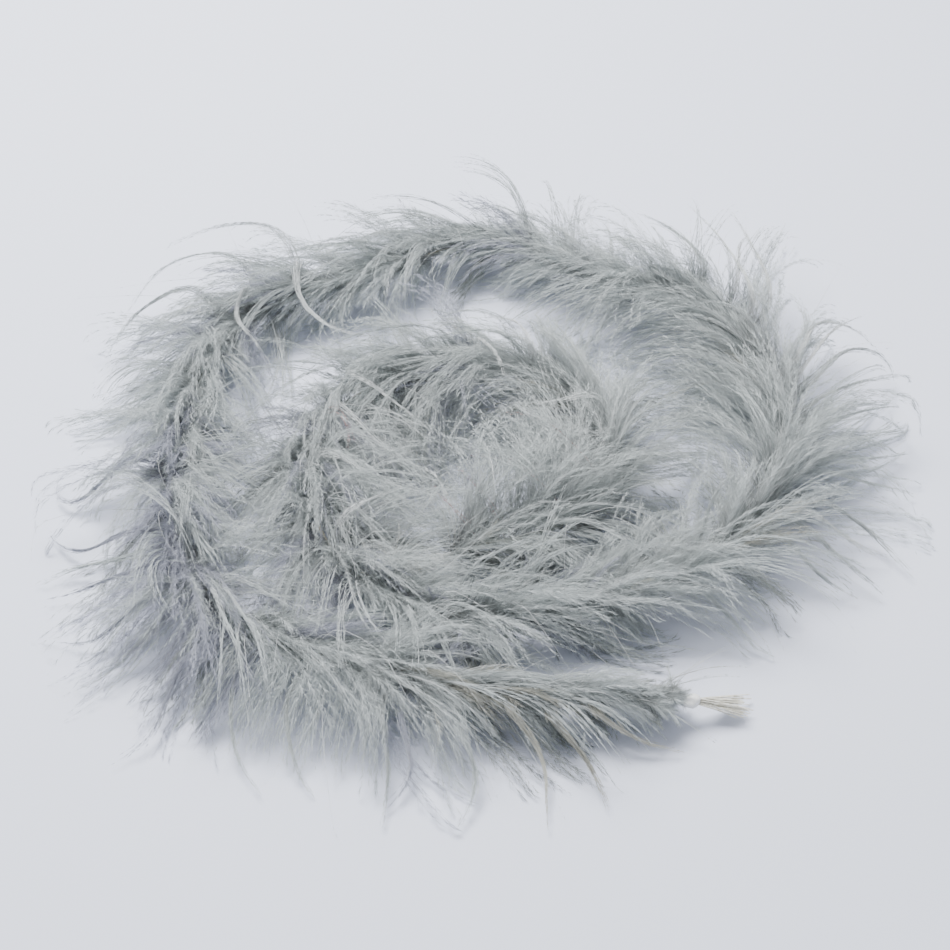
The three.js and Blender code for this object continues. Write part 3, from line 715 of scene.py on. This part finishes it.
# %% Lone locks
LONE_LOCKS = (
    (3, 17, "violet", [(-222, -16, 24), (-256, -40, 8), (-272, -28, 5), (-268, -12, 4)]),
    (3, 15, "violet", [(-215, -78, 24), (-243, -84, 12), (-262, -72, 4), (-273, -56, 3)]),
    (3, 15, "silver", [(-214, -96, 20), (-250, -96, 8), (-276, -108, 3)]),
    (3, 15, "violet", [(-212, -110, 22), (-246, -114, 8), (-270, -118, 3)]),
    (3, 13, "violet", [(-200, -132, 22), (-230, -152, 8), (-260, -148, 3)]),
    (3, 17, "silver", [(-186, -146, 24), (-212, -170, 8), (-238, -188, 3)]),
    (2, 17, "violet", [(-172, -180, 22), (-188, -222, 8), (-210, -240, 3)]),
    (2, 15, "silver", [(-142, -194, 22), (-138, -236, 8), (-120, -264, 3)]),
    (2, 15, "silver", [(-112, -206, 22), (-104, -244, 8), (-92, -262, 3)]),
    (2, 19, "silver", [(-58, -212, 26), (-54, -246, 10), (-57, -284, 3)]),
    (2, 15, "violet", [(-48, -212, 24), (-42, -248, 9), (-58, -270, 3)]),
    (2, 17, "silver", [(-16, -218, 26), (-6, -254, 10), (-18, -286, 3)]),
    (2, 26, "silver", [(-140, -176, 32), (-156, -200, 20), (-172, -222, 6)]),
    (2, 26, "silver", [(-120, -184, 32), (-134, -208, 20), (-144, -236, 6)]),
    (2, 26, "silver", [(-100, -190, 32), (-110, -214, 20), (-116, -244, 6)]),
    (2, 26, "violet", [(-150, -168, 32), (-176, -190, 18), (-196, -210, 5)]),
    (2, 24, "silver", [(-76, -196, 32), (-84, -222, 18), (-86, -248, 5)]),
    (3, 24, "violet", [(-176, -140, 30), (-200, -160, 16), (-222, -172, 5)]),
    (2, 30, "silver", [(-60, -196, 32), (-66, -222, 18), (-70, -246, 5)]),
    (2, 30, "silver", [(-112, -186, 32), (-124, -212, 18), (-132, -238, 5)]),
    (2, 30, "violet", [(-134, -178, 30), (-150, -206, 16), (-166, -230, 4)]),
    (2, 30, "silver", [(-90, -192, 30), (-98, -218, 16), (-104, -246, 4)]),
    (3, 30, "violet", [(-164, -152, 30), (-186, -176, 14), (-206, -196, 4)]),
    (3, 26, "violet", [(-190, -120, 30), (-214, -136, 16), (-236, -150, 4)]),
    (1, 3, "straw", [(96, -196, 20), (124, -182, 20), (152, -172, 10)]),
    (1, 3, "silver", [(98, -200, 20), (126, -190, 22), (160, -184, 12)]),
    (1, 3, "silver", [(96, -206, 18), (120, -220, 10), (140, -232, 3)]),
    (1, 3, "pale", [(100, -198, 22), (130, -176, 26), (156, -160, 18)]),
    (1, 15, "straw", [(12, -216, 28), (30, -238, 12), (33, -286, 3)]),
    (1, 15, "straw", [(34, -216, 24), (56, -242, 10), (68, -270, 3)]),
    (1, 13, "straw", [(60, -214, 24), (84, -226, 12), (112, -228, 3)]),
    (8, 15, "pale", [(204, 60, 44), (222, 96, 40), (250, 104, 26), (272, 88, 10)]),
    (8, 15, "silver", [(210, 40, 40), (240, 76, 34), (266, 84, 20), (277, 66, 8)]),
    (8, 15, "silver", [(216, 4, 36), (250, 30, 24), (279, 50, 8)]),
    (8, 15, "silver", [(214, -20, 30), (246, -8, 16), (276, 8, 6)]),
    (9, 17, "silver", [(200, -58, 30), (232, -66, 14), (262, -102, 4)]),
    (9, 15, "silver", [(176, -84, 26), (204, -108, 12), (228, -120, 4)]),
    (9, 15, "silver", [(120, -124, 28), (140, -134, 14), (158, -156, 4)]),
    (8, 12, "silver", [(212, 22, 38), (242, 44, 34), (272, 68, 16)]),
    (8, 12, "pale", [(206, 50, 44), (230, 86, 42), (262, 128, 22)]),
    (9, 12, "silver", [(208, -34, 30), (238, -34, 20), (274, -30, 5)]),
    (9, 12, "pale", [(196, -66, 28), (226, -84, 16), (250, -86, 5)]),
    (9, 12, "silver", [(188, -76, 28), (214, -94, 16), (246, -122, 4)]),
    (7, 10, "pale", [(170, 128, 46), (176, 170, 48), (196, 206, 30)]),
    (7, 15, "pale", [(180, 108, 46), (164, 168, 50), (140, 232, 40)]),
    (7, 13, "pale", [(190, 110, 48), (182, 176, 48), (170, 240, 36)]),
    (7, 13, "silver", [(150, 150, 44), (132, 190, 44), (106, 226, 34)]),
    (5, 15, "pale", [(-128, 150, 52), (-124, 122, 40), (-102, 98, 34), (-72, 84, 36)]),
    (5, 13, "pale", [(-160, 122, 50), (-166, 104, 40), (-150, 84, 30), (-140, 70, 20)]),
    (5, 8, "silver", [(-140, 186, 46), (-184, 206, 36), (-238, 204, 12)]),
    (5, 9, "silver", [(-170, 160, 44), (-222, 168, 30), (-256, 124, 6)]),
    (4, 17, "silver", [(-196, 130, 42), (-238, 122, 24), (-260, 82, 5)]),
    (13, 5, "pale", [(-4, 60, 58), (8, 44, 56), (14, 18, 40)]),
    (13, 5, "pale", [(30, 58, 54), (18, 90, 48), (-20, 112, 30)]),
    (14, 5, "pale", [(70, 10, 54), (40, 8, 50), (10, 24, 34)]),
    (14, 5, "pale", [(72, -20, 50), (30, -22, 44), (-22, -8, 26)]),
    (12, 5, "pale", [(-88, 30, 54), (-50, 6, 44), (-18, -22, 30)]),
    (12, 6, "pale", [(-96, 8, 50), (-60, -26, 40), (-24, -44, 30)]),
    (11, 6, "pale", [(-100, -40, 54), (-60, -58, 46), (0, -74, 40)]),
    (11, 6, "pale", [(-84, -96, 54), (-56, -70, 50), (-30, -44, 34)]),
    (11, 2, "straw", [(-57, -116, 34), (-66, -104, 44), (-82, -108, 40)]),
    (11, 2, "straw", [(-57, -116, 34), (-52, -96, 46), (-60, -78, 42)]),
    (11, 2, "straw", [(-57, -116, 34), (-44, -108, 44), (-28, -116, 38)]),
    (11, 2, "straw", [(-57, -116, 34), (-68, -124, 40), (-80, -130, 34)]),
    (11, 2, "pale", [(-57, -116, 34), (-40, -100, 50), (-14, -96, 42)]),
    (14, 2, "straw", [(-19, -88, 24), (-30, -74, 38), (-48, -76, 34)]),
    (14, 2, "straw", [(-19, -88, 24), (-18, -66, 40), (-30, -46, 38)]),
    (14, 2, "pale", [(-19, -88, 24), (-4, -70, 40), (6, -48, 40)]),
    (14, 2, "pale", [(-19, -88, 24), (-34, -88, 34), (-52, -100, 30)]),
    (14, 4, "pale", [(-14, -84, 26), (-30, -52, 44), (-52, -30, 38)]),
    (14, 4, "silver", [(-6, -80, 28), (-14, -44, 44), (-30, -12, 36)]),
    (14, 5, "silver", [(6, -76, 30), (2, -36, 44), (-8, 2, 34)]),
    (14, 5, "silver", [(24, -66, 32), (22, -28, 46), (10, 14, 34)]),
    (14, 22, "silver", [(-10, -80, 16), (-24, -56, 11), (-34, -30, 6)]),
    (14, 22, "silver", [(-2, -76, 16), (-10, -48, 12), (-14, -18, 7)]),
    (12, 3, "pink", [(-98, 16, 40), (-88, -2, 48), (-80, -26, 42)]),
    (12, 3, "pink", [(-96, 6, 44), (-84, -22, 50), (-88, -48, 42)]),
    (14, 3, "pink", [(46, -66, 34), (10, -36, 46), (-22, -32, 42)]),
    (14, 3, "pink", [(10, -80, 30), (-8, -56, 44), (-26, -34, 42)]),
    (14, 3, "pink", [(-6, -84, 26), (-26, -66, 40), (-36, -50, 40)]),
    (14, 3, "pink", [(60, -30, 44), (30, -4, 50), (-10, 0, 44)]),
)


FULL_LOCK = 20               # barbs from which a lone lock is loose and downy
THIN_LOCK = 4                # fewer barbs than this are bare ones


def resample(points, count):
    """The smooth curve through the points, as count points evenly spaced."""
    curve = smooth_route(np.array(points, float))
    at = np.concatenate([[0], np.cumsum(np.linalg.norm(np.diff(curve, axis=0), axis=1))])
    even = np.linspace(0, at[-1], count)
    return np.stack([np.interp(even, at, curve[:, axis]) for axis in range(3)], axis=-1)


def lone_lock(random, barbs, band_colour, points):
    """A lock from the cord through its points, as points, triangles and their places on the map."""
    first = np.array(points[0]) / 1000
    nearest = int(np.argmin(np.linalg.norm(route[:, :2] - first[:2], axis=1)))
    root, along, _ = cord_frame(route_at[nearest])
    guide = resample([root[0], *(np.array(point) / 1000 for point in points)], GUIDE_POINTS)
    tight, spread = (1.06, 0.0030) if barbs < FULL_LOCK else (0.5, 0.0060)
    paths = split_into_barbs(random, guide[None], along, barbs, np.array([tight]), spread)
    low, high = BANDS[band_colour]
    shades = np.full(barbs, low + random.random() * (high - low)) + random.normal(0, 0.003, barbs)
    kinds = BARE if barbs < THIN_LOCK else SLEEK if barbs < FULL_LOCK else DOWNY * 2 + SLEEK
    return lay_all(random, kinds, keep_inside(paths), np.full(barbs, 1.0), shades, 0.2)


print(len(LONE_LOCKS), "lone locks")

# %% [markdown]
# ## Every plume
#
# A plume is its layers and its lone locks in one piece, which rides on the body that its quill rides on.

# %% Plumes
def groom_plume(number):
    random = np.random.default_rng(1000 + number)
    tangled = PLUME_ROWS[number][-1] > 0
    parts = [groom_layer(random, number, layer) for layer in LAYERS.values() if layer["locks"] or tangled]
    parts += [lone_lock(random, *lock) for plume, *lock in LONE_LOCKS if plume == number + 1]
    points, triangles, surface = join_parts(parts)
    return mesh_piece(f"plume_{number + 1:02d}", points, triangles, surface, barb_dye_and_painted_shade)


def finish_piece(piece, node):
    """The piece stands for the node: it rides on the node's body, and the node is hidden."""
    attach(piece, BODY_OF[node])
    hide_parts(node)


BODY_OF = {node: body for body, nodes in frame["record"]["behaviour"]["bodies"].items() for node in nodes}
total = 0
for number in range(PLUMES):
    plume = groom_plume(number)
    finish_piece(plume, f"barbs_{number + 1:02d}")
    total += len(plume.data.polygons)
print("barbs:", total, "triangles in", PLUMES, "plumes")

# %% [markdown]
# ## The cord
#
# Under the barbs runs one limp cotton cord of two plies twisted together, each pressed flat against the
# other. It could be a curve with a round bevel, but then its twist would only be drawn on. Here each ply is
# swept along the route while it turns. The boa bends between plumes, so the cord is cut at each bend, and
# every length rides on the body that it belongs to.

# %% Twisted cord
CORD_DIAMETER = 0.003
TWIST_LENGTH = 0.010         # one full turn of the two plies
TWIST_STEPS = 9
CORD_JOIN = 0.0002           # between two lengths that meet at a bend
PLY_SECTION = np.array([
    [0.10, -0.85], [0.90, -1.00], [1.45, -0.38], [1.45, 0.38], [0.90, 1.00], [0.10, 0.85],
])


def place_on_cord(points, start, end):
    """Points of a straight template, x from 0 to 1 along it, laid on a stretch of the cord."""
    at, along, left = cord_frame(start + points[:, 0] * (end - start))
    return at + left * points[:, 1:2] + np.cross(along, left) * points[:, 2:3]


def closed_tube(rings):
    """Triangles of a tube through rings of points, with both ends capped. rings is rings by sides by 3."""
    count, sides = rings.shape[:2]
    corner = np.arange(sides)
    after = (corner + 1) % sides
    first = (np.arange(count - 1) * sides)[:, None]
    walls = np.stack([
        np.stack([first + corner, first + after, first + sides + after], axis=-1),
        np.stack([first + corner, first + sides + after, first + sides + corner], axis=-1),
    ]).reshape(-1, 3)
    fan = np.stack([np.zeros(sides - 2, int), corner[1:-1], corner[2:]], axis=-1)
    return np.vstack([walls, fan[:, ::-1], fan + (count - 1) * sides])


def twisted_cord(name, start, end):
    steps = max(2, round((end - start) / TWIST_LENGTH * TWIST_STEPS))
    share = np.linspace(0, 1, steps + 1)
    plies = []
    for first_angle in (0, math.pi):
        angle = first_angle + 2 * math.pi * (start + share * (end - start)) / TWIST_LENGTH
        out = np.stack([np.zeros_like(share), np.cos(angle), np.sin(angle)], axis=-1)
        across = np.stack([np.zeros_like(share), -np.sin(angle), np.cos(angle)], axis=-1)
        rings = (out[:, None] * PLY_SECTION[None, :, :1] + across[:, None] * PLY_SECTION[None, :, 1:]) / 1000
        rings[..., 0] = share[:, None]
        rings = place_on_cord(rings.reshape(-1, 3), start, end).reshape(rings.shape)
        plies.append((rings.reshape(-1, 3), closed_tube(rings), np.zeros((rings.size // 3, 2))))
    points, triangles, _ = join_parts(plies)
    return mesh_piece(name, points, triangles, None, cotton_cord, smooth=True)


CORD_CUTS = (0, 1, 2, 3, 4, PLUMES - 1, PLUMES)
for number, (first, last) in enumerate(zip(CORD_CUTS, CORD_CUTS[1:]), start=1):
    start = PLUMES_START + first * PLUME_LENGTH + CORD_JOIN / 2
    if first == 0:
        start = OUTER_STRANDS
    end = PLUMES_START + last * PLUME_LENGTH - CORD_JOIN / 2
    if last == PLUMES:
        end = CORD_LENGTH - INNER_STRANDS
    piece = twisted_cord(f"cord_length_{number}", start, end)
    path = cord_frame(np.linspace(start, end, max(20, round((end - start) / 0.003))))[0]
    finish_piece(piece, f"core_cord_{number:02d}")
    print(f"cord_length_{number}: {end - start:.3f} m, {len(piece.data.polygons)} triangles")

# %% [markdown]
# ## The quills
#
# A plume's quill is shaved down to a thin half-round strip so that it bends with the cord. One is modelled
# from a cylinder laid on its side: its lower half is pressed flat, and cuts across it let it bend. Each copy
# is laid on top of the cord, tapering towards the outer end.

# %% Pared quills
CORD_RADIUS = CORD_DIAMETER / 2
FIT_GAP = 0.0003
QUILL_WIDTH, QUILL_THICKNESS = 0.0022, 0.0012
QUILL_TIP_SHARE = 0.5
QUILL_END_GAP = 0.004
QUILL_CUTS = 28


def press_flat(obj, share):
    """Presses everything below the middle of the active mesh towards it."""
    for vertex in obj.data.vertices:
        vertex.select = vertex.co.z < -1e-6
    bpy.ops.object.mode_set(mode="EDIT")
    bpy.ops.mesh.select_mode(type="VERT")
    bpy.ops.transform.resize(value=(1, 1, share), center_override=(0, 0, 0))
    bpy.ops.object.mode_set(mode="OBJECT")


def cut_across(cuts):
    """Cuts the active mesh, which lies from x = 0 to 1, into equal lengths."""
    bpy.ops.object.mode_set(mode="EDIT")
    for cut in range(1, cuts):
        bpy.ops.mesh.select_all(action="SELECT")
        bpy.ops.mesh.bisect(plane_co=(cut / cuts, 0, 0), plane_no=(1, 0, 0))
    bpy.ops.mesh.select_all(action="DESELECT")
    bpy.ops.object.mode_set(mode="OBJECT")


def model_quill():
    """A half-round strip from x = 0, its thin tip, to x = 1, its butt."""
    fresh_selection()
    bpy.ops.mesh.primitive_cylinder_add(
        vertices=12, radius=1, depth=1, location=(0.5, 0, 0), rotation=(0, math.pi / 2, 0),
    )
    bpy.ops.object.transform_apply()
    press_flat(bpy.context.object, 0.12)
    cut_across(QUILL_CUTS)
    return take_points(bpy.context.object)


quill_points, quill_triangles = model_quill()
for number in range(PLUMES):
    start = PLUMES_START + number * PLUME_LENGTH + QUILL_END_GAP
    end = PLUMES_START + (number + 1) * PLUME_LENGTH - QUILL_END_GAP
    size = QUILL_TIP_SHARE + (1 - QUILL_TIP_SHARE) * quill_points[:, :1]
    strip = quill_points * [1, QUILL_WIDTH / 2, QUILL_THICKNESS]
    strip[:, 1:] *= size
    strip[:, 2] += CORD_RADIUS + FIT_GAP
    piece = mesh_piece(f"pared_quill_{number + 1:02d}", place_on_cord(strip, start, end), quill_triangles,
                       None, horn_quill, smooth=True)
    finish_piece(piece, f"quill_{number + 1:02d}")
print("quills:", PLUMES, "of", len(quill_triangles), "triangles")

# %% [markdown]
# ## The binding thread
#
# Thread wound tightly round the cord holds down the butt of each quill. One turn is modelled as a torus,
# stretched to the oval of cord and quill, and the winding is nine turns side by side, each leaning a little
# the way a winding climbs.

# %% Binding thread
THREAD_DIAMETER = 0.0008
WINDING_TURNS = 9
WINDING_LENGTH = 0.007
WINDING_INSET = 0.011
OVAL_HALF_WIDTH = CORD_RADIUS + FIT_GAP + THREAD_DIAMETER / 2
OVAL_HALF_HEIGHT = CORD_RADIUS + (FIT_GAP + QUILL_THICKNESS) / 2 + FIT_GAP + THREAD_DIAMETER / 2
OVAL_MIDDLE = (FIT_GAP + QUILL_THICKNESS) / 2


def model_winding():
    """Nine leaning turns of thread round X, with x from 0 to 1 along the winding."""
    fresh_selection()
    bpy.ops.mesh.primitive_torus_add(
        major_segments=16, minor_segments=6, major_radius=OVAL_HALF_WIDTH, minor_radius=THREAD_DIAMETER / 2,
        rotation=(0, math.pi / 2, 0),
    )
    bpy.ops.object.transform_apply()
    bpy.ops.transform.resize(value=(1, 1, OVAL_HALF_HEIGHT / OVAL_HALF_WIDTH), center_override=(0, 0, 0))
    bpy.ops.object.transform_apply()
    turn, triangles = take_points(bpy.context.object)
    lean = THREAD_DIAMETER / 2 / OVAL_HALF_WIDTH
    turn[:, 0] += lean * turn[:, 1]
    middles = (np.arange(WINDING_TURNS) + 0.5) / WINDING_TURNS
    turns = np.repeat(turn[None], WINDING_TURNS, axis=0)
    turns[..., 0] = turns[..., 0] / WINDING_LENGTH + middles[:, None]
    turns[..., 2] += OVAL_MIDDLE
    return join_copies(turns, triangles)


winding_points, winding_triangles = model_winding()
for number in range(PLUMES):
    middle = PLUMES_START + (number + 1) * PLUME_LENGTH - WINDING_INSET
    points = place_on_cord(winding_points, middle - WINDING_LENGTH / 2, middle + WINDING_LENGTH / 2)
    name = f"winding_{number + 1:02d}"
    piece = mesh_piece(name, points, winding_triangles, None, cotton_thread, smooth=True)
    finish_piece(piece, f"lashing_{number + 1:02d}")
print("windings:", PLUMES, "of", len(winding_triangles), "triangles")

# %% [markdown]
# ## Glue and cut strands at the ends
#
# Each end of the cord is dipped in craft glue, which dries to an uneven milky lump. A sphere is stretched,
# its points are moved a little at random along their normals, and one level of subdivision rounds it off.
# Out of the glue come the cut shafts of the last barbs: flat, straw-like fibres in a few bundles that fan out
# and drop to the table.

# %% Glue lumps
LUMP_LENGTH, LUMP_RADIUS = 0.0125, 0.0046
LUMP_UNEVEN = 0.0016


def model_lump(seed):
    """An uneven lump round X, with x from 0 to 1 along it."""
    fresh_selection()
    bpy.ops.mesh.primitive_ico_sphere_add(subdivisions=3, radius=1)
    bpy.ops.transform.resize(value=(LUMP_LENGTH / 2, LUMP_RADIUS, LUMP_RADIUS * 0.9))
    bpy.ops.object.transform_apply()
    bpy.ops.object.mode_set(mode="EDIT")
    bpy.ops.mesh.select_all(action="SELECT")
    bpy.ops.transform.vertex_random(offset=LUMP_UNEVEN, uniform=0.3, normal=0.6, seed=seed)
    bpy.ops.mesh.vertices_smooth(factor=0.5, repeat=2)
    bpy.ops.object.mode_set(mode="OBJECT")
    lump = bpy.context.object
    rounded = lump.modifiers.new("rounded", "SUBSURF")
    rounded.levels = rounded.render_levels = 1
    bpy.ops.object.modifier_apply(modifier=rounded.name)
    points, triangles = take_points(lump)
    return points * [1 / LUMP_LENGTH, 1, 1] + [0.5, 0, 0], triangles


def glue_lump(name, node, seed, middle):
    points, triangles = model_lump(seed)
    points = place_on_cord(points, middle - LUMP_LENGTH / 2, middle + LUMP_LENGTH / 2)
    points[:, 2] = np.maximum(points[:, 2], TABLE_CLEARANCE)
    piece = mesh_piece(name, points, triangles, None, dried_glue, smooth=True)
    finish_piece(piece, node)
    return piece


CORD_START, CORD_END = OUTER_STRANDS, CORD_LENGTH - INNER_STRANDS
BEAD_INSET = 0.0053
for name, node, seed, middle in (
    ("outer_glue", "outer_glue_bead", 5, CORD_START + BEAD_INSET),
    ("inner_glue", "inner_glue_bead", 8, CORD_END - BEAD_INSET),
):
    print(name, len(glue_lump(name, node, seed, middle).data.polygons), "triangles")

# %% Cut strands
FIBRES_PER_STRAND = 16
FIBRE_WIDTH, FIBRE_THICKNESS = 0.00055, 0.00020
STRAND_FAN = 0.0056
STRAND_TIP_HEIGHT = 0.009
FIBRE_SPLAY = 0.0022         # how far a fibre's tip strays from its bundle
STRAND_CUTS = 8


def model_fibre():
    """A flat fibre from x = 0 to 1, as a barb without barbules."""
    fresh_selection()
    bpy.ops.mesh.primitive_cube_add(size=1, location=(0.5, 0, 0))
    bpy.ops.transform.resize(value=(1, FIBRE_WIDTH, FIBRE_THICKNESS), center_override=(0.5, 0, 0))
    bpy.ops.object.transform_apply()
    cut_across(STRAND_CUTS)
    points, triangles = take_points(bpy.context.object)
    return {"foot": points[:, 0], "offset": points * [0, 1, 1], "triangles": triangles,
            "shaft": np.zeros(len(points), bool)}


def cut_strand(name, node, seed, cord_end, towards_inner, number, count, length):
    """One bundle of cut fibres, from inside the glue to their blunt tips near the table."""
    random = np.random.default_rng(seed)
    from_point, along, left = (array[0] for array in cord_frame(cord_end))
    towards = along if towards_inner else -along
    angle = (number + 0.5) * 2 * math.pi / count
    share = np.linspace(0, 1, GUIDE_POINTS)[None, :, None]
    reach = (length * random.uniform(0.72, 1.0, FIBRES_PER_STRAND))[:, None, None]
    start = random.normal(0, 0.0008, (FIBRES_PER_STRAND, 1, 3)) - towards * 0.004
    splay = random.normal(0, FIBRE_SPLAY, (FIBRES_PER_STRAND, 1, 3)) * [1, 1, 0.7]
    fan = math.cos(angle) * left * STRAND_FAN + math.sin(angle) * np.array([0, 0, 0.0012])
    drop = np.array([0, 0, from_point[2] - STRAND_TIP_HEIGHT])
    paths = from_point + start + towards * reach * share + (fan + splay) * share - drop * share ** 1.6
    points, triangles, _ = lay_on_paths(
        model_fibre(), paths, random.uniform(0.7, 1.2, FIBRES_PER_STRAND), np.zeros(FIBRES_PER_STRAND)
    )
    piece = mesh_piece(name, points, triangles, None, cut_fibre)
    finish_piece(piece, node)


for side, cord_end, towards_inner, count, length in (
    ("outer", CORD_START, False, 4, OUTER_STRANDS), ("inner", CORD_END, True, 3, INNER_STRANDS),
):
    for number in range(count):
        name, node = f"{side}_cut_strand_{number + 1}", f"{side}_strand_{number + 1:02d}"
        cut_strand(name, node, 50 + number, cord_end, towards_inner, number, count, length)
print("cut strands: 7 bundles of", FIBRES_PER_STRAND)

# %% [markdown]
# ## The floor and the light
#
# A pale, slightly blue sheet of paper runs out of view on all sides. A wide soft light hangs above and behind
# the boa, and the sky fills the shadows, so that the down looks soft and the partings stay dark, deepened by
# the painted shade at the barbs' roots and underneath.

# %% Floor and light
def paper():
    """Uncoated paper: flat and matt, with nothing to see at this distance."""
    material = new_material("pale seamless paper")
    sheet = add_node(material, "ShaderNodeBsdfPrincipled", (), {
        "Base Color": linear("dde2f1"), "Roughness": 0.9, "Specular IOR Level": 0.1})
    add_node(material, "ShaderNodeOutputMaterial", (), {"Surface": sheet.outputs[0]})
    return material


fresh_selection()
bpy.ops.mesh.primitive_plane_add(size=12, location=(0, 0, -0.0002))
floor = bpy.context.object
floor.name = "floor"
floor.data.materials.append(paper())

world = bpy.data.worlds.new("soft sky")
world.use_nodes = True
bpy.context.scene.world = world
world.node_tree.nodes["Background"].inputs["Color"].default_value = linear("f2f4f9")
world.node_tree.nodes["Background"].inputs["Strength"].default_value = 0.73


def soft_light(name, place, size, power):
    """A round soft box at a place, turned towards the middle of the boa."""
    lamp = bpy.data.lights.new(name, "AREA")
    lamp.shape = "DISK"
    lamp.size = size
    lamp.energy = power
    obj = bpy.data.objects.new(name, lamp)
    obj.location = place
    obj.rotation_euler = (-Vector(place)).to_track_quat("-Z", "Y").to_euler()
    bpy.context.scene.collection.objects.link(obj)


soft_light("overhead", (-0.50, 0.80, 1.85), 1.3, 116)
